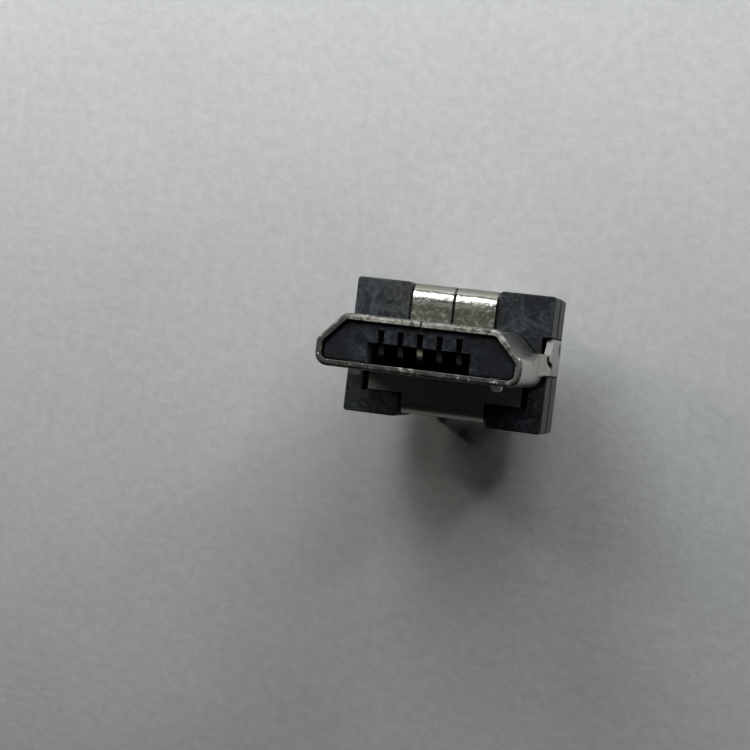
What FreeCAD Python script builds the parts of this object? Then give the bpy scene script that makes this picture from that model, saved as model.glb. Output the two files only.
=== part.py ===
import FreeCAD, Part
import math
import os

# Upright board plug with five contacts. Millimetres, +Z from the board towards the mouth,
# +Y towards the narrow, chamfered side. The origin is at the centre of the four leg tips.

# Metal tube that enters the socket
plug_width = 6.85
plug_height = 1.80
plug_top_width = 5.12
plug_length = 5.00
nose_height = 0.87
top_corner_radius = 0.32
nose_corner_radius = 0.30
low_corner_radius = 0.42
lip_outer_rounding = 0.10
lip_inner_rounding = 0.03

# Folded sheet
sheet = 0.22
root_bend = 0.12
strap_bend = 0.30
seam_gap = 0.06
strap_seam_gap = 0.10
relief = 0.10
strap_width = 3.01
strap_reach = 2.345
flange_sink = 0.02
wing_inset = 0.65
wing_reach = 1.62

# Legs that pass through the board
leg_length = 2.30
leg_width = 1.20
leg_tip_taper = 0.28
leg_notch_radius = 0.15

# Tabs on the two narrow sides of the body
tab_width = 1.29
tab_centre_y = 0.305
tab_depth = 2.42
tab_proud = 0.03
tab_bend = 0.20
flare_rise = 0.95
flare_foot = 0.38
shoulder_width = 0.57
shoulder_drop = 0.20
neck_rise = 0.25
neck_length = 1.25
neck_taper = 0.95
curved_slit_width = 0.20
curved_slit_bend = 0.18
straight_slit_width = 0.36

# Moulded body
body_thickness = 2.50
side_wall = 0.20
cover_high = 0.02
cover_low = 0.14
block_radius = 0.12
foot_radius = 0.17
shelf_radius = 0.13
edge_rounding = 0.06
parting_height = 1.25
parting_step = 0.03

# Insert inside the tube
face_sink = 0.12
cavity_side = 0.335
cavity_height = 0.71
cavity_depth = 4.20
chamber_height = 0.43

# Contacts
contact_count = 5
contact_pitch = 0.65
contact_sheet = 0.18
beam_width = 0.16
beam_room = 0.05
bump_reach = 0.50
bump_behind_mouth = 0.62
bump_radius = 0.22
tip_behind_mouth = 0.32
tip_reach = 0.05
plate_height = 1.40
plate_width = 1.50
plate_cover = 0.20
tail_width = 0.26
tail_row = 1.20
tail_lift = 0.30
tail_taper = 0.10

# Latch springs
latch_spacing = 4.84
latch_width = 0.35
latch_sheet = 0.20
latch_plate_width = 0.90
latch_root_y = 0.25
latch_arm_y = 0.32
latch_flex = 0.60
hook_behind_mouth = 1.65
hook_reach = 0.20
hook_lead = 0.55
hook_back = 0.35
hook_land = 0.14
hook_rounding = 0.13
front_wall = 0.80

# Clearances
insert_clearance = 0.03
tube_clearance = 0.03
strap_clearance = 0.02
strap_side_clearance = 0.11
wing_side_clearance = 0.22
wing_edge_clearance = 0.05
tab_clearance = 0.05
tab_gap = 0.18
tab_end_clearance = 0.06
slot_clearance = 0.02
window_clearance = 0.06
latch_clearance = 0.03

# Levels along the mating axis
board_level = leg_length
front_level = board_level + body_thickness
mouth_level = front_level + plug_length
flange_level = front_level - flange_sink
floor_level = flange_level - sheet
face_level = mouth_level - face_sink
cavity_floor = face_level - cavity_depth
plate_top = board_level + plate_cover + plate_height

# Places across the plug
tube_y = (cover_low - cover_high) / 2
half_body_x = plug_width / 2 + side_wall
high_side = tube_y + strap_reach + cover_high
low_side = tube_y - strap_reach - cover_low
tube_top = tube_y + plug_height / 2
tube_bottom = tube_y - plug_height / 2
strap_half = strap_width / 2
wing_half = plug_width / 2 - wing_inset
wing_edge = tube_y - wing_reach
channel_half = strap_half + strap_side_clearance
pocket_half = wing_half + wing_side_clearance
pocket_edge = wing_edge - wing_edge_clearance
ceiling = tube_bottom + sheet + cavity_height
chamber_top = ceiling + chamber_height
cavity_half = ((contact_count - 1) * contact_pitch + contact_sheet) / 2 + cavity_side
tab_low = tab_centre_y - tab_width / 2
tab_high = tab_centre_y + tab_width / 2
tab_outer = half_body_x + tab_proud
tab_floor = tab_outer - sheet - tab_gap
beam_y = chamber_top - beam_room - beam_width / 2


def vec(x, y, z):
    return FreeCAD.Vector(x, y, z)


def flat(level):
    """Plane across the plug at one level: (x, y) to space."""
    return lambda u, v: vec(u, v, level)


def side_plane(x):
    """Plane along the plug seen from its narrow side: (y, z) to space."""
    return lambda u, v: vec(x, u, v)


def front_plane(y):
    """Plane along the plug seen from its wide side: (x, z) to space."""
    return lambda u, v: vec(u, y, v)


def unit(a, b):
    """Direction from point a to point b in a plane."""
    length = math.hypot(b[0] - a[0], b[1] - a[1])
    return (b[0] - a[0]) / length, (b[1] - a[1]) / length


def corner_arc(before, corner, after, radius):
    """Start, middle and end of the arc of this radius that rounds a corner."""
    to_before = unit(corner, before)
    to_after = unit(corner, after)
    half = math.acos(max(-1.0, min(1.0, to_before[0] * to_after[0] + to_before[1] * to_after[1]))) / 2
    reach = radius / math.tan(half)
    middle = (to_before[0] + to_after[0], to_before[1] + to_after[1])
    length = math.hypot(*middle)
    to_centre = radius / math.sin(half)
    inset = to_centre - radius
    return [
        (corner[0] + to_before[0] * reach, corner[1] + to_before[1] * reach),
        (corner[0] + middle[0] / length * inset, corner[1] + middle[1] / length * inset),
        (corner[0] + to_after[0] * reach, corner[1] + to_after[1] * reach),
    ]


def outline(corners, plane):
    """Closed wire through corners (u, v, radius), straight runs joined by tangent arcs."""
    count = len(corners)
    joints = []
    for i, (u, v, radius) in enumerate(corners):
        if radius > 0:
            joints.append(corner_arc(corners[i - 1], (u, v), corners[(i + 1) % count], radius))
        else:
            joints.append([(u, v)])
    edges = []
    for i, joint in enumerate(joints):
        if len(joint) == 3:
            edges.append(Part.Arc(*[plane(*p) for p in joint]).toShape())
        start, end = plane(*joint[-1]), plane(*joints[(i + 1) % count][0])
        if start.distanceToPoint(end) > 1e-6:
            edges.append(Part.LineSegment(start, end).toShape())
    return Part.Wire(Part.__sortEdges__(edges))


def prism(wire, travel):
    """Solid swept by a closed flat wire along a straight travel."""
    return Part.Face(wire).extrude(travel)


def sheet_wire(path, bend, thickness, plane):
    """Edge-on outline of a bent strip: its middle line is path, bent at this middle radius."""
    left, right = [], []
    last = len(path) - 1
    for i, point in enumerate(path):
        before = unit(path[i - 1], point) if i > 0 else unit(point, path[i + 1])
        after = unit(point, path[i + 1]) if i < last else before
        turn = before[0] * after[1] - before[1] * after[0]
        normal = (-before[1] - after[1], before[0] + after[0])
        scale = thickness / (1 + before[0] * after[0] + before[1] * after[1]) / 2
        radius = 0.0 if abs(turn) < 1e-9 else bend
        grow = math.copysign(thickness / 2, turn) if radius else 0.0
        left.append((point[0] + normal[0] * scale, point[1] + normal[1] * scale, radius - grow if radius else 0.0))
        right.append((point[0] - normal[0] * scale, point[1] - normal[1] * scale, radius + grow if radius else 0.0))
    return outline(left + right[::-1], plane)


def box(x_range, y_range, z_range):
    """Block between pairs of limits."""
    (x0, x1), (y0, y1), (z0, z1) = x_range, y_range, z_range
    return Part.makeBox(x1 - x0, y1 - y0, z1 - z0, vec(x0, y0, z0))


def edges_at(shape, level):
    """Edges that lie flat at one level."""
    flat_edges = [e for e in shape.Edges if e.BoundBox.ZLength < 1e-6]
    return [e for e in flat_edges if abs(e.BoundBox.ZMin - level) < 1e-6]


def mirrored(shape):
    """Copy on the other side of the plug's middle plane."""
    return shape.mirror(vec(0, 0, 0), vec(1, 0, 0))


def tube_section(inset, level):
    """Outline of the tube across the plug, drawn in by inset, or out where it is negative."""
    half = plug_width / 2
    nose_y = tube_bottom + nose_height
    right = [
        (plug_top_width / 2, tube_top, top_corner_radius),
        (half, nose_y, nose_corner_radius),
        (half, tube_bottom, low_corner_radius),
    ]
    left = [(-x, y, radius) for x, y, radius in reversed(right)]
    wire = outline(right + left, flat(level))
    return wire.makeOffset2D(-inset) if inset else wire


def strap_path(side, root, reach, end_level):
    """Middle line of a strip that leaves the tube wall, lies on the body and turns down."""
    wall = tube_y + side * (plug_height - sheet) / 2
    flange = flange_level - sheet / 2
    if end_level is None:
        return [(wall, root), (wall, flange), (tube_y + side * reach, flange)]
    outer = tube_y + side * (reach - sheet / 2)
    return [(wall, root), (wall, flange), (outer, flange), (outer, end_level)]


def bent_strip(side, half_width, reach, end_level):
    """Strip folded out of the long wall of the tube, at its full width."""
    root = flange_level + root_bend + sheet
    path = strap_path(side, root, reach, end_level)
    corner = [root_bend + sheet / 2, strap_bend + sheet / 2]
    wall = sheet_wire(path[:3], corner[0], sheet, side_plane(-half_width))
    strip = prism(wall, vec(2 * half_width, 0, 0))
    if end_level is None:
        return strip
    middle = ((path[1][0] + path[2][0]) / 2, path[1][1])
    strip = strip.common(box((-half_width, half_width), sorted((tube_y, middle[0])), (0, mouth_level)))
    fold = sheet_wire([middle] + path[2:], corner[1], sheet, side_plane(-half_width))
    return strip.fuse(prism(fold, vec(2 * half_width, 0, 0)))


def strap(side):
    """Strip over one long side of the body, ending in two legs with tapered tips."""
    strip = bent_strip(side, strap_half, strap_reach, 0.0)
    inner = strap_half - leg_width
    leg = [
        (strap_half, leg_tip_taper, 0), (strap_half - leg_tip_taper, 0, 0),
        (inner + leg_tip_taper, 0, 0), (inner, leg_tip_taper, 0),
        (inner, board_level, leg_notch_radius),
    ]
    top = flange_level + root_bend + sheet
    corners = [(strap_half, top, 0)] + leg
    corners += [(-x, z, radius) for x, z, radius in reversed(corners)]
    return strip.common(prism(outline(corners, front_plane(low_side)), vec(0, high_side - low_side, 0)))


def wing():
    """Wide part of the flange under the wide wall of the tube."""
    return bent_strip(-1, wing_half, wing_reach, None)


def tab():
    """Tab of the right narrow side: the nose wall flares out and runs down beside the body."""
    wall_x = (plug_width - sheet) / 2
    outer_x = tab_outer - sheet / 2
    end = front_level - tab_depth
    neck_top = front_level + neck_rise + neck_length + neck_taper
    path = [
        (wall_x, neck_top), (wall_x, front_level + flare_rise),
        (outer_x, front_level + flare_foot), (outer_x, end),
    ]
    wire = sheet_wire(path, tab_bend + sheet / 2, sheet, front_plane(tab_low))
    strip = prism(wire, vec(0, tab_width, 0))
    nose_vertex = tube_bottom + nose_height
    neck_y = tab_high - shoulder_width
    shape = [
        (tab_low, end, 0.1), (tab_high, end, 0.1), (tab_high, front_level - shoulder_drop, 0.05),
        (neck_y, front_level + neck_rise, 0.03), (neck_y, front_level + neck_rise + neck_length, 0.3),
        (nose_vertex, neck_top, 0.0), (tab_low, neck_top, 0.0),
    ]
    strip = strip.common(prism(outline(shape, side_plane(0)), vec(tab_outer, 0, 0)))
    return strip.cut(tab_slits())


def tab_slits():
    """The two cuts through a tab: a curved one at its root and a straight one near its end."""
    root = front_level + flare_foot + 0.10
    curved = [(tab_centre_y + 0.01, root), (tab_centre_y - 0.20, root), (tab_centre_y - 0.35, root - 1.05)]
    rear = front_level - tab_depth + 0.45
    straight = [(tab_centre_y + 0.50, rear), (tab_centre_y + 0.10, rear)]
    cuts = [
        prism(sheet_wire(path, curved_slit_bend, width, side_plane(0)), vec(tab_outer + sheet, 0, 0))
        for path, width in ((curved, curved_slit_width), (straight, straight_slit_width))
    ]
    return cuts[0].fuse(cuts[1])


def tube():
    """Ring of the tube, cut back where the straps, wings and tabs leave it."""
    height = mouth_level - floor_level
    outer = prism(tube_section(0, floor_level), vec(0, 0, height))
    inner = prism(tube_section(sheet, floor_level), vec(0, 0, height))
    outer = outer.makeFillet(lip_outer_rounding, edges_at(outer, mouth_level))
    ring = outer.cut(inner)
    mouth = tube_section(sheet, mouth_level)
    inner_lip = [e for e in edges_at(ring, mouth_level) if e.distToShape(mouth)[0] < 1e-6]
    ring = ring.makeFillet(lip_inner_rounding, inner_lip)
    bend_start = flange_level + root_bend
    nose_top = tube_bottom + nose_height
    cuts = [
        box((-strap_half - relief, strap_half + relief), (tube_y, high_side), (0, bend_start)),
        box((-wing_half - relief, wing_half + relief), (low_side, tube_y), (0, bend_start)),
    ]
    for side in (-1, 1):
        span = sorted((side * (plug_width / 2 - sheet), side * tab_outer))
        cuts.append(box(span, (tab_low, nose_top), (0, front_level + (flare_rise + flare_foot) / 2)))
    return ring.cut(cuts[0].multiFuse(cuts[1:]))


def latch_windows():
    """Openings in the wide wall of the tube that the two hooks pass through."""
    half = latch_width / 2 + window_clearance
    low = mouth_level - hook_behind_mouth - hook_back - hook_land / 2 - window_clearance
    high = mouth_level - hook_behind_mouth + hook_lead + hook_land / 2 + window_clearance
    places = [side * latch_spacing / 2 for side in (-1, 1)]
    blocks = [box((x - half, x + half), (low_side, tube_y - plug_height / 4), (low, high)) for x in places]
    return blocks[0].fuse(blocks[1])


def shell():
    """One folded sheet: tube with its seam, wings, straps with legs, and side tabs."""
    right_tab = tab()
    body = tube().multiFuse([strap(1), strap(-1), wing(), right_tab, mirrored(right_tab)])
    seam = box((-seam_gap / 2, seam_gap / 2), (tube_y, high_side), (0, mouth_level))
    strap_seam_y = tube_top + root_bend
    strap_seam = box((-strap_seam_gap / 2, strap_seam_gap / 2), (strap_seam_y, high_side), (0, mouth_level))
    return body.cut(seam.multiFuse([strap_seam, latch_windows()])).removeSplitter()


def body_outline(level, inset):
    """Body across the plug: a rounded block with a channel for each strap, inset on the narrow sides."""
    channel_high = tube_y + strap_reach - sheet - strap_clearance
    channel_low = tube_y - strap_reach + sheet + strap_clearance
    right = [
        (channel_half, channel_high, 0), (channel_half, high_side, block_radius),
        (half_body_x - inset, high_side, block_radius), (half_body_x - inset, low_side, block_radius),
        (channel_half, low_side, foot_radius), (channel_half, channel_low, 0),
    ]
    left = [(-x, y, radius) for x, y, radius in reversed(right)]
    return outline(right + left, flat(level))


def base_block():
    """Body block with the recesses that the flange, wings and tabs lie in."""
    parting_level = board_level + parting_height
    foot = prism(body_outline(board_level, 0), vec(0, 0, parting_height))
    head = prism(body_outline(parting_level, parting_step), vec(0, 0, front_level - parting_level))
    block = foot.fuse(head.makeFillet(edge_rounding, edges_at(head, front_level)))
    recess = (floor_level, mouth_level)
    foot_corner = [
        (-pocket_half, tube_y, 0), (-pocket_half, pocket_edge, 0), (-channel_half, pocket_edge, shelf_radius),
        (-channel_half, low_side - 1, 0),
    ]
    corners = foot_corner + [(-x, y, radius) for x, y, radius in reversed(foot_corner)]
    cuts = [
        box((-channel_half, channel_half), (tube_y, high_side + 1), recess),
        prism(outline(corners, flat(floor_level)), vec(0, 0, mouth_level - floor_level)),
        prism(tube_section(-tube_clearance, floor_level), vec(0, 0, mouth_level - floor_level)),
    ]
    tab_span = (tab_low - tab_clearance, tab_high + tab_clearance)
    tab_levels = (front_level - tab_depth - tab_end_clearance, mouth_level)
    for side in (-1, 1):
        cuts.append(box(sorted((side * tab_floor, side * (tab_outer + 1))), tab_span, tab_levels))
    block = block.cut(cuts[0].multiFuse(cuts[1:]))
    return round_strap_edges(block)


def round_strap_edges(block):
    """Round the two edges that the straps are folded over."""
    edges = []
    for side in (-1, 1):
        y = tube_y + side * (strap_reach - sheet - strap_clearance)
        for edge in block.Edges:
            limits = edge.BoundBox
            on_corner = abs(limits.Center.y - y) < 1e-6 and abs(limits.Center.z - floor_level) < 1e-6
            if on_corner and limits.YLength < 1e-6 and limits.ZLength < 1e-6:
                edges.append(edge)
    return block.makeFillet(strap_bend, edges)


def contact_places():
    """Distance of each contact from the middle plane, left to right."""
    first = -(contact_count - 1) * contact_pitch / 2
    return [first + i * contact_pitch for i in range(contact_count)]


def contact_room(x):
    """Slot that holds one contact: wide for its plate, narrow along its spring."""
    half = contact_sheet / 2 + slot_clearance
    span = (x - half, x + half)
    plate_half = plate_width / 2 + slot_clearance
    plate = box(span, (tube_y - plate_half, tube_y + plate_half), (board_level, plate_top))
    spring = box(span, (ceiling, chamber_top), (board_level + plate_cover, mouth_level))
    return plate.fuse(spring)


def latch_room(x):
    """Slot that holds one latch and leaves its arm room to bend inwards."""
    half = latch_width / 2 + latch_clearance
    span = (x - half, x + half)
    arm_inner = tube_bottom + latch_arm_y + sheet + latch_sheet / 2
    plate_half = latch_plate_width / 2 + slot_clearance
    plate = box(span, (tube_y - plate_half, tube_y + plate_half), (board_level, plate_top))
    arm = box(span, (tube_bottom + sheet, arm_inner + latch_flex), (plate_top - plate_height / 2, face_level - front_wall))
    return plate.fuse(arm)


def housing():
    """Moulded body and insert in one piece, with the cavity and all slots."""
    reach = face_level - floor_level
    root = sheet
    core = prism(tube_section(sheet + insert_clearance, floor_level - root), vec(0, 0, reach + root))
    core = core.makeFillet(edge_rounding, edges_at(core, face_level))
    body = base_block().fuse(core)
    cavity = box((-cavity_half, cavity_half), (low_side, ceiling), (cavity_floor, mouth_level))
    rooms = [contact_room(x) for x in contact_places()]
    rooms += [latch_room(side * latch_spacing / 2) for side in (-1, 1)]
    return body.cut(cavity.multiFuse(rooms)).removeSplitter()


def contact(x, row):
    """Blanked contact: plate, tail in its row, and a spring arm with a bump near the mouth."""
    half_plate = plate_width / 2
    plate_low = board_level + plate_cover
    tail_y = tube_y + row * tail_row / 2
    half_tail = tail_width / 2
    plane = side_plane(x - contact_sheet / 2)
    travel = vec(contact_sheet, 0, 0)
    plate = outline([
        (tube_y - half_plate, plate_low, 0.08), (tube_y + half_plate, plate_low, 0.08),
        (tube_y + half_plate, plate_top, 0.03), (tube_y - half_plate, plate_top, 0.08),
    ], plane)
    tail = outline([
        (tail_y - half_tail, plate_low + half_tail, 0), (tail_y - half_tail, tail_lift + tail_taper, 0),
        (tail_y - half_tail / 2, tail_lift, 0), (tail_y + half_tail / 2, tail_lift, 0),
        (tail_y + half_tail, tail_lift + tail_taper, 0), (tail_y + half_tail, plate_low + half_tail, 0),
    ], plane)
    bump_y = ceiling - bump_reach + beam_width / 2
    tip_y = ceiling + tip_reach
    root = (beam_y, plate_top - plate_height / 2)
    knee = (beam_y, plate_top + plate_height / 2)
    bump = (bump_y, mouth_level - bump_behind_mouth)
    tip = (tip_y, mouth_level - tip_behind_mouth)
    beam = sheet_wire([root, knee, bump, tip], bump_radius, beam_width, plane)
    pieces = [prism(wire, travel) for wire in (plate, tail, beam)]
    return pieces[0].multiFuse(pieces[1:]).removeSplitter()


def latch(x):
    """Spring latch: plate held in the body, arm along the insert and hook through the tube."""
    plane = side_plane(x - latch_width / 2)
    travel = vec(latch_width, 0, 0)
    half_plate = latch_plate_width / 2
    plate_low = board_level + plate_cover
    plate = outline([
        (tube_y - half_plate, plate_low, 0.08), (tube_y + half_plate, plate_low, 0.08),
        (tube_y + half_plate, plate_top, 0.03), (tube_y - half_plate, plate_top, 0.03),
    ], plane)
    wall = tube_bottom + sheet
    root_y = tube_y - latch_root_y
    arm_y = wall + latch_arm_y - latch_sheet / 2
    hook_level = mouth_level - hook_behind_mouth
    path = [
        (root_y, plate_top - plate_height / 2), (root_y, plate_top + plate_height / 2),
        (arm_y, hook_level - hook_back - hook_land), (arm_y, hook_level + hook_lead + hook_land),
    ]
    arm = sheet_wire(path, bump_radius, latch_sheet, plane)
    tip_y = tube_bottom - hook_reach
    hook = outline([
        (arm_y, hook_level - hook_back - hook_land / 2, 0), (tip_y, hook_level - hook_land / 2, 0.05),
        (tip_y, hook_level + hook_land / 2, 0.05), (arm_y, hook_level + hook_lead + hook_land / 2, 0),
    ], plane)
    half = latch_width / 2
    from_front = outline([
        (x - half, arm_y, 0), (x - half, tip_y, hook_rounding), (x + half, tip_y, hook_rounding), (x + half, arm_y, 0),
    ], flat(plate_top))
    pieces = [prism(wire, travel) for wire in (plate, arm, hook)]
    pieces[2] = pieces[2].common(prism(from_front, vec(0, 0, mouth_level - plate_top)))
    return pieces[0].multiFuse(pieces[1:]).removeSplitter()


def parts():
    """Every piece of the plug by name."""
    pieces = {"shell": shell(), "housing": housing()}
    for i, x in enumerate(contact_places()):
        pieces["contact_%d" % (i + 1)] = contact(x, 1 if i % 2 == 0 else -1)
    pieces["latch_left"] = latch(-latch_spacing / 2)
    pieces["latch_right"] = latch(latch_spacing / 2)
    return pieces


os.makedirs("parts", exist_ok=True)
for name, shape in parts().items():
    solid = shape.Solids[0] if len(shape.Solids) == 1 else shape
    print("%-12s solids %d valid %s volume %.4f" % (name, len(shape.Solids), shape.isValid(), shape.Volume))
    solid.exportStep("parts/%s.step" % name)
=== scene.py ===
"""Looks of an upright five-contact board plug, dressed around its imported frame.

The classes hold their sizes in millimetres. Blender's meshes, lamps and camera are in metres. East, north
and height are the frame's x, y and z: the plug stands mouth up, and its chamfered side faces north.
"""

import logging
import math
from dataclasses import dataclass
from enum import Enum
from typing import Mapping, Optional, Sequence, Union

import bmesh
import bpy
from mathutils import Euler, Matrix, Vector


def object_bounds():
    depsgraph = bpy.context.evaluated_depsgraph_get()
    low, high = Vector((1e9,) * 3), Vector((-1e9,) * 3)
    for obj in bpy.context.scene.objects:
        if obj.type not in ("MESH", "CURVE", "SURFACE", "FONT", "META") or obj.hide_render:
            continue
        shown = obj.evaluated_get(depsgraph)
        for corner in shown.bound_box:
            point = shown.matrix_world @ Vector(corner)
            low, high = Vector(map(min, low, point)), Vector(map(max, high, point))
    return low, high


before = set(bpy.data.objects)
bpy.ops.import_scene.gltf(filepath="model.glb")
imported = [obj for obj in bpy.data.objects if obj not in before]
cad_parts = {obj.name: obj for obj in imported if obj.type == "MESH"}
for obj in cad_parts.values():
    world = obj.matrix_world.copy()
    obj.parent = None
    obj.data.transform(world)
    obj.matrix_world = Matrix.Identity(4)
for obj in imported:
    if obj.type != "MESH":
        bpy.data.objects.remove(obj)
CAD_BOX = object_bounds()

LOG = logging.getLogger("plug")
MM = 0.001

# What a noise gives on average.
NOISE_MEAN = 0.5

# Sockets of a Mix node that mixes colours. It has more sockets of the same names, so they go by number.
MIX_SHARE = 0
MIX_LOW = 6
MIX_HIGH = 7
MIX_RESULT = 2

Colour = tuple[float, float, float]

# Values and signals of a node's input sockets, by name or number.
Inputs = Mapping[Union[str, int], object]

# The values at which a ramp reads 0 and 1. The second is the lower one on a falling ramp.
Band = tuple[float, float]


class Slot(Enum):
    """Material slots of the record, which each dressed piece names in its log beside its finish."""

    SHELL = "shell_metal"
    BODY = "body_plastic"
    CONTACT = "contact_metal"
    LATCH = "latch_metal"


@dataclass(frozen=True)
class Pattern:
    """Recipe of a cloudy noise.

    The scale counts features for each millimetre and the detail counts octaves. The roughness is the
    weight of the finer octaves, and the distortion is how far the pattern is dragged about.
    """

    scale: float
    detail: float
    roughness: float
    distortion: float = 0.0


@dataclass(frozen=True)
class Relief:
    """Recipe of a bump: the height of a signal of 1 in millimetres, and the share of the effect."""

    height: float
    strength: float


class Signal:
    """A shader socket that takes part in Python arithmetic."""

    def __init__(self, graph: "ShaderGraph", socket: bpy.types.NodeSocket) -> None:
        """Keep the socket and the graph that new nodes go into."""
        self.graph = graph
        self.socket = socket

    def _maths(self, operation: str, *values: "Number", clamp: bool = False) -> "Signal":
        """Add a Math node.

        Args:
            operation: Blender's name of the operation.
            values: What it works on, in order.
            clamp: Whether the result is held between 0 and 1.

        Returns:
            The node's result.
        """
        settings = {"operation": operation, "use_clamp": clamp}
        node = self.graph.add("ShaderNodeMath", settings, dict(enumerate(values)))
        return Signal(self.graph, node.outputs[0])

    def __add__(self, other: "Number") -> "Signal":
        """Sum."""
        return self._maths("ADD", self, other)

    __radd__ = __add__

    def __sub__(self, other: "Number") -> "Signal":
        """Difference."""
        return self._maths("SUBTRACT", self, other)

    def __rsub__(self, other: "Number") -> "Signal":
        """Difference with the number in front."""
        return self._maths("SUBTRACT", other, self)

    def __mul__(self, other: "Number") -> "Signal":
        """Product."""
        return self._maths("MULTIPLY", self, other)

    __rmul__ = __mul__

    def __abs__(self) -> "Signal":
        """Size without sign."""
        return self._maths("ABSOLUTE", self)

    def clamp(self) -> "Signal":
        """Held between 0 and 1."""
        return self._maths("ADD", self, 0.0, clamp=True)

    def step(self, band: Band) -> "Signal":
        """Ramp from 0 to 1 over a band, held outside it.

        Args:
            band: Values that give 0 and 1.

        Returns:
            The ramp as a new signal.
        """
        low, high = band
        return self._maths("MULTIPLY", self - low, 1.0 / (high - low), clamp=True)


Number = Union[Signal, float, int]


class ShaderGraph:
    """One material's nodes, added in code and joined by Python expressions."""

    def __init__(self, name: str) -> None:
        """Start an empty material of this name."""
        self.material = bpy.data.materials.new(name)
        self.material.use_nodes = True
        self.tree = self.material.node_tree
        self.tree.nodes.clear()

    def add(
        self, kind: str, settings: Optional[Mapping[str, object]] = None, inputs: Optional[Inputs] = None
    ) -> bpy.types.Node:
        """Add one node.

        Args:
            kind: Blender's name of the node type.
            settings: Attributes, which are set first.
            inputs: Values and signals of its input sockets.

        Returns:
            The new node.
        """
        node = self.tree.nodes.new(kind)
        for name, value in (settings or {}).items():
            setattr(node, name, value)
        for key, value in (inputs or {}).items():
            if isinstance(value, Signal):
                self.tree.links.new(value.socket, node.inputs[key])
            else:
                node.inputs[key].default_value = value
        return node

    def point(self) -> Signal:
        """Read the place on the piece.

        Returns:
            The place in millimetres.
        """
        place = self.add("ShaderNodeTexCoord").outputs["Object"]
        inputs = {"Vector": Signal(self, place), "Scale": (1 / MM, 1 / MM, 1 / MM)}
        scaled = self.add("ShaderNodeMapping", {"vector_type": "POINT"}, inputs)
        return Signal(self, scaled.outputs[0])

    def axes(self, at: Signal) -> tuple[Signal, Signal, Signal]:
        """The east, north and upward parts of a place or direction."""
        node = self.add("ShaderNodeSeparateXYZ", None, {"Vector": at})
        return tuple(Signal(self, output) for output in node.outputs)

    def facing(self) -> tuple[Signal, Signal, Signal]:
        """How far the surface faces east, north and up, from -1 to 1."""
        shape = self.add("ShaderNodeNewGeometry")
        return self.axes(Signal(self, shape.outputs["Normal"]))

    def noise(self, at: Signal, pattern: Pattern) -> Signal:
        """Add a cloudy noise.

        Args:
            at: Place in millimetres.
            pattern: Recipe of the noise.

        Returns:
            A signal between 0 and 1, around the noise's mean.
        """
        inputs = {
            "Vector": at, "Scale": pattern.scale, "Detail": pattern.detail,
            "Roughness": pattern.roughness, "Distortion": pattern.distortion,
        }
        node = self.add("ShaderNodeTexNoise", {"noise_dimensions": "3D"}, inputs)
        return Signal(self, node.outputs[0])

    def mix(self, mask: Number, low: Union[Colour, Signal], high: Union[Colour, Signal]) -> Signal:
        """Mix two colours.

        Args:
            mask: Share of the second colour.
            low: Colour where the mask is 0.
            high: Colour where the mask is 1.

        Returns:
            The mixed colour.
        """
        ends = [colour if isinstance(colour, Signal) else (*colour, 1.0) for colour in (low, high)]
        inputs = {MIX_SHARE: mask, MIX_LOW: ends[0], MIX_HIGH: ends[1]}
        node = self.add("ShaderNodeMix", {"data_type": "RGBA"}, inputs)
        return Signal(self, node.outputs[MIX_RESULT])

    def coat(self, colour: Signal, *coats: tuple[Number, Union[Colour, Signal]]) -> Signal:
        """Lay coats over a colour.

        Args:
            colour: Colour below.
            coats: Mask and colour of each coat, from the lowest to the highest.

        Returns:
            The colour with its coats.
        """
        for mask, coat in coats:
            colour = self.mix(mask, colour, coat)
        return colour

    def bumps(self, *layers: tuple[Signal, Relief]) -> Signal:
        """Disturb the surface's normal.

        Args:
            layers: Height signal and relief of each layer, in order.

        Returns:
            The new normal.
        """
        below = {}
        for height, relief in layers:
            inputs = {"Height": height, "Distance": relief.height * MM, "Strength": relief.strength}
            node = self.add("ShaderNodeBump", None, {**inputs, **below})
            below = {"Normal": Signal(self, node.outputs[0])}
        return below["Normal"]

    def close(self, sockets: Mapping[str, object]) -> bpy.types.Material:
        """Close the graph with a principled surface.

        Args:
            sockets: Values and signals of the surface's sockets.

        Returns:
            The finished material.
        """
        shader = self.add("ShaderNodeBsdfPrincipled", None, sockets)
        self.add("ShaderNodeOutputMaterial", None, {"Surface": Signal(self, shader.outputs[0])})
        return self.material


@dataclass(frozen=True)
class Finish:
    """A named finish. Each kind of finish works out its own sockets."""

    name: str

    def sockets(self, graph: ShaderGraph, at: Signal) -> Mapping[str, object]:
        """Work out what the surface's sockets get.

        Args:
            graph: Graph that the nodes go into.
            at: Place on the piece in millimetres.

        Returns:
            Values and signals by the sockets' names.
        """
        raise NotImplementedError

    def build(self) -> bpy.types.Material:
        """Make the finish.

        Returns:
            The finished material.
        """
        graph = ShaderGraph(self.name)
        return graph.close(self.sockets(graph, graph.point()))


@dataclass(frozen=True)
class SheetZones:
    """What the parts of the plated sheet's look share: directions, patterns, and masks that are 1 inside."""

    east: Signal
    north: Signal
    height: Signal
    outward: Signal
    upward: Signal
    level: Signal
    mottle: Signal
    grain: Signal
    nicks: Signal
    # Painted highlight on the north folds: their colour is made paler and cleaner where the lamps' highlight
    # falls.
    rubbed: Signal
    lip: Signal
    # Stamped tab edges and slit walls: dark partly as duller metal and partly as painted shade in the slits.
    cut: Signal


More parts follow.
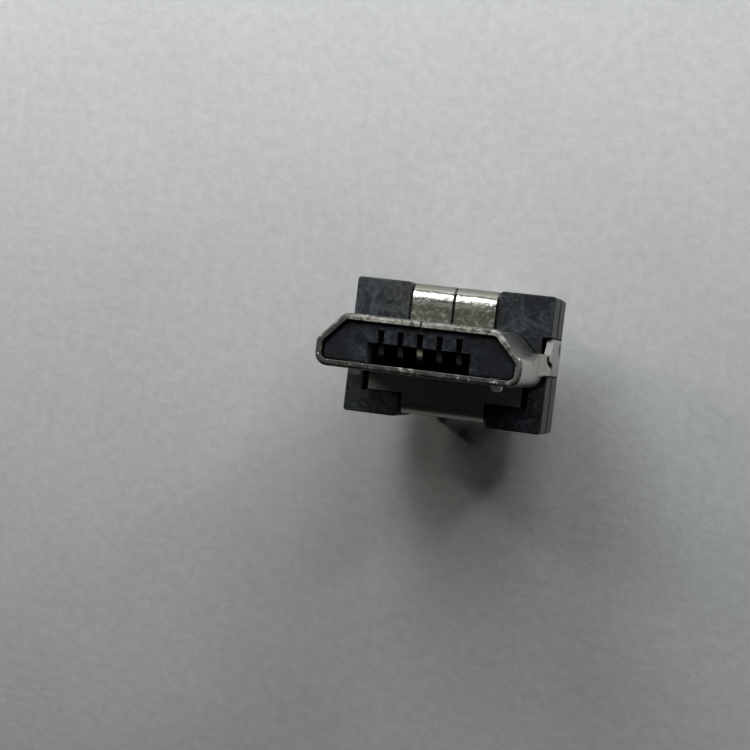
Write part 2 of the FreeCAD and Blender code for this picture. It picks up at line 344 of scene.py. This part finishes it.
@dataclass(frozen=True)
class PlatedSheet(Finish):
    """Dull nickel on stamped sheet.

    Level faces are mottled with olive stains and drawn walls are smoother. The north folds of the straps
    carry a painted highlight, a paler and cleaner colour where the lamps' highlight falls, and painted shade
    on the bends just beyond it. On the south side, in the tube's shadow, the mottling is thinned as painted
    fill light and the bends are darkened as painted shade. Walls and faces below the body's top are darkened
    evenly. The tabs' stamped edges and slit walls are dark, partly as duller metal and partly as painted
    shade in the slits.
    The lip at the mouth is dull, grimy and chipped, paler on its north side as painted light and on worn
    spots, darker towards the west nose, and darkened on its north-facing faces as painted shade.
    """

    name: str = "plated_sheet"
    clean: Colour = (0.72, 0.72, 0.66)
    # Olive stains, and also the painted shade on the north folds and the south bends.
    stained_and_shaded: Colour = (0.17, 0.18, 0.135)
    # Paler colour of the lip's chips, and also the painted highlight on the north folds.
    chip_and_highlight_bright: Colour = (0.86, 0.85, 0.77)
    # Dark colour of the tabs' stamped edges, and painted shade in their slits.
    sheared_and_slit_shade: Colour = (0.26, 0.26, 0.25)
    # Lip colours: the paler one is painted light on the north side and worn spots; the darker one is the
    # lip's dull tone and painted shade on its south side and north-facing faces.
    painted_light_and_worn_lip: Colour = (0.60, 0.59, 0.54)
    dull_and_shaded_lip: Colour = (0.125, 0.125, 0.115)
    grime: Colour = (0.09, 0.09, 0.075)

    # Levels and sides over which a zone fades in.
    mouth_level: float = CAD_BOX[1][2] / MM
    lip_depth: float = 0.12
    lip_fade: float = 0.036
    tab_levels: Band = (4.85, 4.55)
    cut_sides: Band = (3.40, 3.43)
    shaded_sides: Band = (-0.7, -1.0)
    bend_sides: Band = (1.4, 1.65)
    painted_highlight_sides: Band = (1.6, 1.85)
    fold_sides: Band = (1.7, 1.8)
    sag_sides: Band = (1.5, 2.3)
    nose_sides: Band = (-2.2, -2.7)
    painted_light_lip_sides: Band = (-0.55, 0.95)

    # How far a face looks up or down where a zone fades in, and north for the outer lip.
    level_faces: Band = (0.93, 0.995)
    turning_faces: Band = (0.88, 0.74)
    bend_faces: Band = (0.45, 0.75)
    smooth_faces: Band = (0.3, 0.6)
    upright_faces: Band = (0.6, 0.2)
    cut_faces: Band = (0.25, 0.8)
    outer_faces: Band = (0.15, 0.5)

    # Patterns, and the values of the nicks at which grime and chips begin.
    cloud: Pattern = Pattern(0.9, 4.0, 0.6, 0.6)
    mottle: Pattern = Pattern(6.0, 5.0, 0.72)
    grain: Pattern = Pattern(15.0, 4.0, 0.62)
    nicks: Pattern = Pattern(3.6, 6.0, 0.80)
    wear: Pattern = Pattern(1.6, 6.0, 0.75)
    creases: Pattern = Pattern(5.0, 2.0, 0.5)
    grime_nicks: Band = (0.49, 0.40)
    chip_nicks: Band = (0.58, 0.63)

    # Weights of the patterns in the olive stains, the sum at which they begin, and what each zone makes of
    # them.
    # On the south side painted fill light thins the mottling and painted shade darkens the bends; painted
    # shade darkens the north folds beyond their highlight; walls and low faces are darkened evenly.
    cloud_weight: float = 1.5
    mottle_weight: float = 3.6
    grain_weight: float = 1.6
    stain_start: float = 2.53
    slope_share: float = 0.2
    south_painted_fill_loss: float = 0.95
    painted_highlight_share: float = 0.75
    wall_darkening: float = 0.16
    low_darkening: float = 0.42
    south_bend_painted_shade: float = 0.30
    fold_painted_shade: float = 0.24

    # Brightness of the lip: painted light on its north side, worn spots, darkening towards the west nose,
    # and painted shade on its north-facing faces.
    painted_light_lip_gain: float = 0.85
    wear_gain: float = 2.4
    nose_loss: float = 0.55
    outer_lip_painted_shade: float = 0.8

    # Roughness of an upright clean wall, and what each zone adds.
    roughness: float = 0.20
    upward_rough: float = 0.10
    stain_rough: float = 0.10
    grain_rough: float = 0.06
    cut_rough: float = 0.25
    lip_rough: float = 0.14
    rubbed_rough: float = -0.15

    grain_relief: Relief = Relief(0.006, 0.5)
    nick_relief: Relief = Relief(0.04, 0.9)
    mottle_relief: Relief = Relief(0.03, 0.6)
    crease_relief: Relief = Relief(0.03, 0.7)
    sag_relief: Relief = Relief(0.12, 1.0)

    def _zones(self, graph: ShaderGraph, at: Signal) -> SheetZones:
        """Work out the zones.

        Args:
            graph: Graph that the nodes go into.
            at: Place on the sheet in millimetres.

        Returns:
            The zones.
        """
        east, north, height = graph.axes(at)
        _, outward, facing_up = graph.facing()
        upward = abs(facing_up)
        lip_start = self.mouth_level - self.lip_depth
        lip = height.step((lip_start, lip_start + self.lip_fade))
        return SheetZones(
            east, north, height, outward, upward,
            level=upward.step(self.level_faces),
            mottle=graph.noise(at, self.mottle),
            grain=graph.noise(at, self.grain),
            nicks=graph.noise(at, self.nicks),
            # Painted highlight zone on the north folds.
            rubbed=north.step(self.painted_highlight_sides) * self.painted_highlight_share,
            lip=lip,
            # Tabs' stamped edges and slit walls, painted dark partly as shade in the slits.
            cut=abs(east).step(self.cut_sides) * upward.step(self.cut_faces) * (1 - lip),
        )

    def _stain_and_shade(self, graph: ShaderGraph, at: Signal, zones: SheetZones) -> Signal:
        """Work out the olive stains with the painted light and shade worked into them.

        The mottled stains are strongest on level faces and thinned on the shaded south side as painted fill
        light.
        Walls and faces below the body's top are darkened evenly, and painted shade darkens the south bends
        and the north folds beyond their highlight.

        Args:
            graph: Graph that the nodes go into.
            at: Place on the sheet in millimetres.
            zones: Zones of the sheet.

        Returns:
            The olive stains with the painted light and shade worked in, from 0 to 1.
        """
        clouds = graph.noise(at, self.cloud) * self.cloud_weight + zones.mottle * self.mottle_weight
        mottled = (clouds + zones.grain * self.grain_weight - self.stain_start).clamp()
        mottled = mottled * (self.slope_share + (1 - self.slope_share) * zones.level) * (1 - zones.rubbed)
        shaded = zones.north.step(self.shaded_sides)
        # Walls and faces below the body's top are darkened evenly.
        wall = zones.upward.step(self.upright_faces)
        low = zones.height.step(self.tab_levels)
        # Painted shade on the north folds, where they turn away beyond their highlight.
        fold = zones.north.step(self.fold_sides) * zones.upward.step(self.turning_faces)
        even = self.wall_darkening * wall + self.low_darkening * low + self.fold_painted_shade * fold
        # Painted shade on the bends of the shaded south side.
        even = even + self.south_bend_painted_shade * shaded * (1 - zones.level)
        # Painted fill light: the mottling is thinned on the shaded south side.
        return (mottled * (1 - self.south_painted_fill_loss * shaded) + even).clamp()

    def _colour(self, graph: ShaderGraph, at: Signal, zones: SheetZones, stain_and_shade: Signal) -> Signal:
        """Work out the colour.

        Args:
            graph: Graph that the nodes go into.
            at: Place on the sheet in millimetres.
            zones: Zones of the sheet.
            stain_and_shade: The olive stains with the painted light and shade worked in.

        Returns:
            The colour.
        """
        wear = (graph.noise(at, self.wear) - NOISE_MEAN) * self.wear_gain
        nose = zones.east.step(self.nose_sides)
        # Painted light: the lip is paler on its north side.
        pale = zones.north.step(self.painted_light_lip_sides) * self.painted_light_lip_gain
        pale = (pale + wear - self.nose_loss * nose).clamp()
        return graph.coat(
            # Painted highlight: the north folds are paler and cleaner.
            graph.mix(zones.rubbed, self.clean, self.chip_and_highlight_bright),
            (stain_and_shade, self.stained_and_shaded),
            (zones.cut, self.sheared_and_slit_shade),
            (zones.lip, graph.mix(pale, self.dull_and_shaded_lip, self.painted_light_and_worn_lip)),
            # Painted shade on the lip's north-facing faces.
            (zones.lip * zones.outward.step(self.outer_faces) * self.outer_lip_painted_shade, self.dull_and_shaded_lip),
            (zones.lip * zones.nicks.step(self.grime_nicks), self.grime),
            (zones.lip * zones.nicks.step(self.chip_nicks), self.chip_and_highlight_bright),
        )

    def _roughness(self, zones: SheetZones, stain_and_shade: Signal) -> Signal:
        """Work out the roughness.

        Args:
            zones: Zones of the sheet.
            stain_and_shade: The olive stains with the painted light and shade worked in.

        Returns:
            The roughness.
        """
        rough = self.roughness + zones.upward * (self.upward_rough + self.stain_rough * stain_and_shade)
        rough = rough + self.grain_rough * zones.grain + self.cut_rough * zones.cut
        smooth = zones.rubbed * zones.upward.step(self.smooth_faces)
        return rough + self.lip_rough * zones.lip + self.rubbed_rough * smooth

    def _normal(self, graph: ShaderGraph, at: Signal, zones: SheetZones) -> Signal:
        """Work out the relief: grain, the lip's nicks, mottles, creases on the folds, and their early sag.

        Args:
            graph: Graph that the nodes go into.
            at: Place on the sheet in millimetres.
            zones: Zones of the sheet.

        Returns:
            The normal.
        """
        bend = zones.north.step(self.bend_sides) * zones.upward.step(self.bend_faces)
        sag = zones.north.step(self.sag_sides)
        return graph.bumps(
            (zones.grain, self.grain_relief),
            (zones.lip * zones.nicks, self.nick_relief),
            (zones.level * zones.mottle, self.mottle_relief),
            (bend * graph.noise(at, self.creases), self.crease_relief),
            (1 - sag * sag, self.sag_relief),
        )

    def sockets(self, graph: ShaderGraph, at: Signal) -> Mapping[str, object]:
        """Work out what the surface's sockets get.

        Args:
            graph: Graph that the nodes go into.
            at: Place on the sheet in millimetres.

        Returns:
            Values and signals by the sockets' names.
        """
        zones = self._zones(graph, at)
        stain_and_shade = self._stain_and_shade(graph, at, zones)
        return {
            "Base Color": self._colour(graph, at, zones, stain_and_shade),
            "Metallic": 1.0,
            "Roughness": self._roughness(zones, stain_and_shade),
            "Normal": self._normal(graph, at, zones),
        }


@dataclass(frozen=True)
class MouldedPlastic(Finish):
    """Matt blue-black moulding, clouded with paler and olive smears.

    The insert at the mouth is darker and streaky, its middle lighter as painted light, and the narrow sides
    are scuffed.
    The clouds grow paler towards the west as painted light.
    """

    name: str = "moulded_plastic"
    dark: Colour = (0.008, 0.010, 0.013)
    blue: Colour = (0.052, 0.063, 0.075)
    olive: Colour = (0.064, 0.070, 0.058)
    scuffed: Colour = (0.125, 0.132, 0.135)

    # Levels and sides over which a zone fades in.
    insert_levels: Band = (8.9, 9.0)
    painted_light_middle_sides: Band = (2.4, 1.6)
    painted_light_west_sides: Band = (3.6, -3.6)
    side_faces: Band = (0.6, 0.9)
    upright_faces: Band = (0.9, 0.6)

    # Patterns, and the values at which the olive tone and the scuffs begin.
    broad: Pattern = Pattern(0.45, 3.0, 0.5)
    smear: Pattern = Pattern(1.5, 5.0, 0.68, 1.2)
    patch: Pattern = Pattern(5.2, 5.0, 0.74)
    grain: Pattern = Pattern(20.0, 3.0, 0.6)
    scuffs: Pattern = Pattern(6.5, 3.0, 0.62, 0.4)
    olive_broad: Band = (0.42, 0.58)
    scuff_start: Band = (0.645, 0.72)

    # Weights in the pale clouds, the sum at which they begin, and what each zone makes of them, with painted
    # light making the west and the insert's middle paler.
    smear_weight: float = 3.6
    patch_weight: float = 2.9
    painted_light_west_weight: float = 0.45
    cloud_start: float = 3.15
    insert_share: float = 0.207
    painted_light_middle_gain: float = 0.437
    streak_gain: float = 5.0
    upright_loss: float = 0.5
    upright_cloud: float = 0.22

    # Scuffs on the narrow sides, and small ones all over.
    side_scuff: float = 0.1
    side_smear: float = 0.9
    scuff_share: float = 0.55
    insert_scuff_loss: float = 0.6

    roughness: float = 0.50
    cloud_rough: float = 0.20
    grain_rough: float = 0.10
    gloss: float = 0.3
    grain_relief: Relief = Relief(0.006, 0.5)
    patch_relief: Relief = Relief(0.02, 0.4)

    def sockets(self, graph: ShaderGraph, at: Signal) -> Mapping[str, object]:
        """Work out what the surface's sockets get.

        Args:
            graph: Graph that the nodes go into.
            at: Place on the moulding in millimetres.

        Returns:
            Values and signals by the sockets' names.
        """
        east, _, height = graph.axes(at)
        facing_east, _, facing_up = graph.facing()
        side = abs(facing_east).step(self.side_faces)
        upright = abs(facing_up).step(self.upright_faces)
        smear = graph.noise(at, self.smear)
        patch = graph.noise(at, self.patch)
        grain = graph.noise(at, self.grain)
        insert = height.step(self.insert_levels)
        # Painted light: the insert's middle gets more of the pale clouds.
        share = self.insert_share + self.painted_light_middle_gain * abs(east).step(self.painted_light_middle_sides)
        streaks = 1 + insert * (patch - NOISE_MEAN) * self.streak_gain
        cloud = smear * self.smear_weight + patch * self.patch_weight
        # Painted light: the clouds grow paler towards the west.
        cloud = cloud + east.step(self.painted_light_west_sides) * self.painted_light_west_weight - self.cloud_start
        cloud = cloud.clamp() * ((1 - insert * (1 - share)) * streaks).clamp()
        cloud = cloud * (1 - self.upright_loss * upright) + self.upright_cloud * upright
        olive = graph.noise(at, self.broad).step(self.olive_broad) * (1 - insert)
        scuffs = graph.noise(at, self.scuffs).step(self.scuff_start) * (1 - self.insert_scuff_loss * insert)
        colour = graph.coat(
            graph.mix(cloud, self.dark, graph.mix(olive, self.blue, self.olive)),
            ((side * (self.side_scuff + smear * self.side_smear)).clamp(), self.scuffed),
            (scuffs * self.scuff_share, self.scuffed),
        )
        return {
            "Base Color": colour,
            "Metallic": 0.0,
            "Roughness": self.roughness + self.cloud_rough * cloud + self.grain_rough * grain,
            "Specular IOR Level": self.gloss,
            "Normal": graph.bumps((grain, self.grain_relief), (patch, self.patch_relief)),
        }


@dataclass(frozen=True)
class SpringMetal(Finish):
    """What the springs' metals share: a fine grain with its roughness and relief."""

    grain: Pattern
    roughness: float = 0.34
    grain_rough: float = 0.2
    grain_relief: Relief = Relief(0.003, 0.4)

    def metal(self, graph: ShaderGraph, at: Signal, colour: Signal) -> Mapping[str, object]:
        """Give a colour the grain of the metal.

        Args:
            graph: Graph that the nodes go into.
            at: Place on the spring in millimetres.
            colour: Colour of the metal.

        Returns:
            Values and signals by the sockets' names.
        """
        grain = graph.noise(at, self.grain)
        return {
            "Base Color": colour,
            "Metallic": 1.0,
            "Roughness": self.roughness + self.grain_rough * grain,
            "Normal": graph.bumps((grain, self.grain_relief)),
        }


@dataclass(frozen=True)
class ContactPlate(SpringMetal):
    """Thin plate on blanked contacts, tarnished dark.

    The middle one is rubbed pale at its tip, and the tails are tinned.
    """

    name: str = "contact_plate"
    grain: Pattern = Pattern(22.0, 3.0, 0.6)
    rubbed: Colour = (0.34, 0.325, 0.28)
    tarnished: Colour = (0.017, 0.0165, 0.0165)
    tinned: Colour = (0.48, 0.48, 0.46)
    patch: Pattern = Pattern(1.1, 4.0, 0.6)
    patch_shift: float = 0.2

    # The rubbed line, the span over which it fades, and what moves a spot away from it.
    rubbed_side: float = -0.06
    rubbed_span: float = 0.12
    rubbed_levels: Band = (9.0, 8.8)
    outer_contacts: Band = (0.15, 0.85)
    outer_shift: float = 0.24
    tinned_levels: Band = (4.0, 3.7)

    def sockets(self, graph: ShaderGraph, at: Signal) -> Mapping[str, object]:
        """Work out what the surface's sockets get.

        Args:
            graph: Graph that the nodes go into.
            at: Place on the contact in millimetres.

        Returns:
            Values and signals by the sockets' names.
        """
        east, north, height = graph.axes(at)
        shift = (graph.noise(at, self.patch) - NOISE_MEAN) * self.patch_shift
        away = abs(north - self.rubbed_side) + shift
        away = away + abs(east).step(self.outer_contacts) * self.outer_shift
        away = away + height.step(self.rubbed_levels)
        upper = graph.mix(away.step((0.0, self.rubbed_span)), self.rubbed, self.tarnished)
        return self.metal(graph, at, graph.mix(height.step(self.tinned_levels), upper, self.tinned))


@dataclass(frozen=True)
class SpringSteel(SpringMetal):
    """Pale spring steel of the latches, rubbed brighter in patches."""

    name: str = "spring_steel"
    grain: Pattern = Pattern(24.0, 3.0, 0.6)
    steel: Colour = (0.88, 0.87, 0.83)
    rubbed: Colour = (0.95, 0.94, 0.92)
    patch: Pattern = Pattern(4.5, 4.0, 0.6)
    rubbed_patch: Band = (0.42, 0.62)

    def sockets(self, graph: ShaderGraph, at: Signal) -> Mapping[str, object]:
        """Work out what the surface's sockets get.

        Args:
            graph: Graph that the nodes go into.
            at: Place on the latch in millimetres.

        Returns:
            Values and signals by the sockets' names.
        """
        rubbed = graph.noise(at, self.patch).step(self.rubbed_patch)
        return self.metal(graph, at, graph.mix(rubbed, self.steel, self.rubbed))


@dataclass(frozen=True)
class Paper(Finish):
    """Pale grey paper with faint fibres and a slightly uneven tone."""

    name: str = "paper"
    pale: Colour = (0.625, 0.638, 0.627)
    shade: Colour = (0.524, 0.538, 0.527)
    tone: Pattern = Pattern(0.16, 4.0, 0.6)
    fibre: Pattern = Pattern(2.3, 4.0, 0.66)
    tone_weight: float = 0.9
    fibre_weight: float = 1.9
    shade_start: float = 1.05
    roughness: float = 0.92
    gloss: float = 0.15
    fibre_relief: Relief = Relief(0.04, 0.5)

    def sockets(self, graph: ShaderGraph, at: Signal) -> Mapping[str, object]:
        """Work out what the surface's sockets get.

        Args:
            graph: Graph that the nodes go into.
            at: Place on the paper in millimetres.

        Returns:
            Values and signals by the sockets' names.
        """
        fibre = graph.noise(at, self.fibre)
        shade = graph.noise(at, self.tone) * self.tone_weight + fibre * self.fibre_weight
        return {
            "Base Color": graph.mix((shade - self.shade_start).clamp(), self.pale, self.shade),
            "Roughness": self.roughness,
            "Specular IOR Level": self.gloss,
            "Normal": graph.bumps((fibre, self.fibre_relief)),
        }


@dataclass(frozen=True)
class DressedNodes:
    """Frame nodes that keep their own mesh and get one finish."""

    nodes: Sequence[str]
    slot: Slot
    finish: Finish

    def dress(self) -> None:
        """Give every node the finish."""
        material = self.finish.build()
        for name in self.nodes:
            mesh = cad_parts[name].data
            mesh.materials.clear()
            mesh.materials.append(material)
            LOG.info("dressed %s with %s for slot %s", name, material.name, self.slot.value)


@dataclass(frozen=True)
class Panel:
    """A soft lamp that hangs level and shines down.

    Its centre and size are shares of its height and its turn is in degrees. The share is its part of the
    light at the plug, and the tint is a slight one, as of daylight mixed with room light.
    """

    name: str
    centre: tuple[float, float]
    size: tuple[float, float]
    turn: float
    share: float
    tint: Colour = (1.0, 1.0, 1.0)
    height: float = 48.0

    def hang(self, level: float) -> None:
        """Add the lamp.

        Its power makes up for its distance and for the slant at which it leaves the lamp and arrives.

        Args:
            level: Light of all panels on a level surface at the plug, where 1 shows a colour as written.
        """
        lamp = bpy.data.lights.new(self.name, "AREA")
        lamp.shape = "RECTANGLE"
        lamp.color = self.tint
        lamp.size, lamp.size_y = (side * self.height * MM for side in self.size)
        reach = math.hypot(*self.centre, 1.0)
        lamp.energy = self.share * level * (math.pi * reach ** 2 * self.height * MM) ** 2
        holder = bpy.data.objects.new(self.name, lamp)
        holder.location = Vector((*self.centre, 1.0)) * self.height * MM
        holder.rotation_euler = (0.0, 0.0, math.radians(self.turn))
        holder.visible_camera = False
        bpy.context.scene.collection.objects.link(holder)


@dataclass(frozen=True)
class Studio:
    """Paper floor, lamps, world and camera. The camera's turn is in degrees."""

    floor_half: float = 900.0
    floor_cuts: int = 2
    paper: Paper = Paper()
    panels: tuple[Panel, ...] = (
        Panel("left_far_panel", (-0.60, 1.55), (1.36, 0.68), 105, 0.27, (0.97, 0.99, 1.04)),
        Panel("left_panel", (-0.66, 0.83), (0.31, 0.89), 3, 0.15, (0.98, 1.02, 0.985)),
        Panel("cross_panel", (0.61, 1.60), (1.30, 0.52), 24, 0.27, (1.0, 1.03, 0.97)),
        Panel("right_panel", (0.82, 0.87), (0.11, 0.36), -20, 0.10, (0.96, 0.92, 1.08)),
        Panel("left_wash", (-2.20, 2.52), (1.66, 1.31), 35, 0.035),
        Panel("right_wash", (2.03, 2.15), (0.08, 1.80), 51, 0.05),
        Panel("side_wash", (-1.72, 0.97), (0.97, 0.10), -21, 0.09, (1.08, 1.0, 0.92)),
        Panel("near_panel", (0.46, 0.65), (0.18, 0.08), 42, 0.015),
        Panel("near_right_panel", (0.68, 0.64), (0.10, 0.10), -52, 0.025, (0.96, 0.92, 1.08)),
    )
    lamp_level: float = 0.575
    world_colour: Colour = (0.008, 0.0085, 0.009)
    camera_place: tuple[float, float, float] = (10.624, -0.046, 57.643)
    camera_turn: tuple[float, float, float] = (0.642, 14.028, 6.993)
    camera_reach: tuple[float, float] = (1.0, 10000.0)
    focal_pixels: float = 1519.9
    picture_pixels: float = 750.0
    sensor_width: float = 36.0

    def build_floor(self) -> None:
        """Lay the paper under the leg tips."""
        shape = bmesh.new()
        bmesh.ops.create_grid(
            shape, x_segments=self.floor_cuts, y_segments=self.floor_cuts, size=self.floor_half * MM
        )
        mesh = bpy.data.meshes.new("floor")
        shape.to_mesh(mesh)
        shape.free()
        mesh.materials.append(self.paper.build())
        floor = bpy.data.objects.new("floor", mesh)
        bpy.context.scene.collection.objects.link(floor)
        LOG.info("laid the floor, %.1f m across", 2 * self.floor_half * MM)

    def build_lamps(self) -> None:
        """Hang the panels beyond the chamfered side and set the world's fill."""
        for panel in self.panels:
            panel.hang(self.lamp_level)
        world = bpy.data.worlds.new("room")
        world.use_nodes = True
        world.node_tree.nodes["Background"].inputs["Color"].default_value = (*self.world_colour, 1.0)
        bpy.context.scene.world = world
        LOG.info("hung %d lamps", len(self.panels))

    def build_camera(self) -> None:
        """Stand the camera at the photograph's viewing angle."""
        camera = bpy.data.cameras.new("camera")
        camera.sensor_width = self.sensor_width
        camera.lens = self.focal_pixels / self.picture_pixels * self.sensor_width
        camera.clip_start, camera.clip_end = (reach * MM for reach in self.camera_reach)
        holder = bpy.data.objects.new("camera", camera)
        holder.location = Vector(self.camera_place) * MM
        holder.rotation_euler = Euler([math.radians(turn) for turn in self.camera_turn], "XYZ")
        bpy.context.scene.collection.objects.link(holder)
        bpy.context.scene.camera = holder
        bpy.context.scene.view_settings.view_transform = "Standard"
        LOG.info("stood the camera, lens %.1f mm", camera.lens)

    def build(self) -> None:
        """Build the whole studio."""
        self.build_floor()
        self.build_lamps()
        self.build_camera()


def main() -> None:
    """Dress every piece, build the studio and report each step."""
    logging.basicConfig(level=logging.INFO, format="%(name)s: %(message)s")
    contacts = sorted(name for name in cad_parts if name.startswith("contact_"))
    DressedNodes(["shell"], Slot.SHELL, PlatedSheet()).dress()
    DressedNodes(["housing"], Slot.BODY, MouldedPlastic()).dress()
    DressedNodes(contacts, Slot.CONTACT, ContactPlate()).dress()
    DressedNodes(["latch_left", "latch_right"], Slot.LATCH, SpringSteel()).dress()
    Studio().build()


if __name__ == "__main__":
    main()
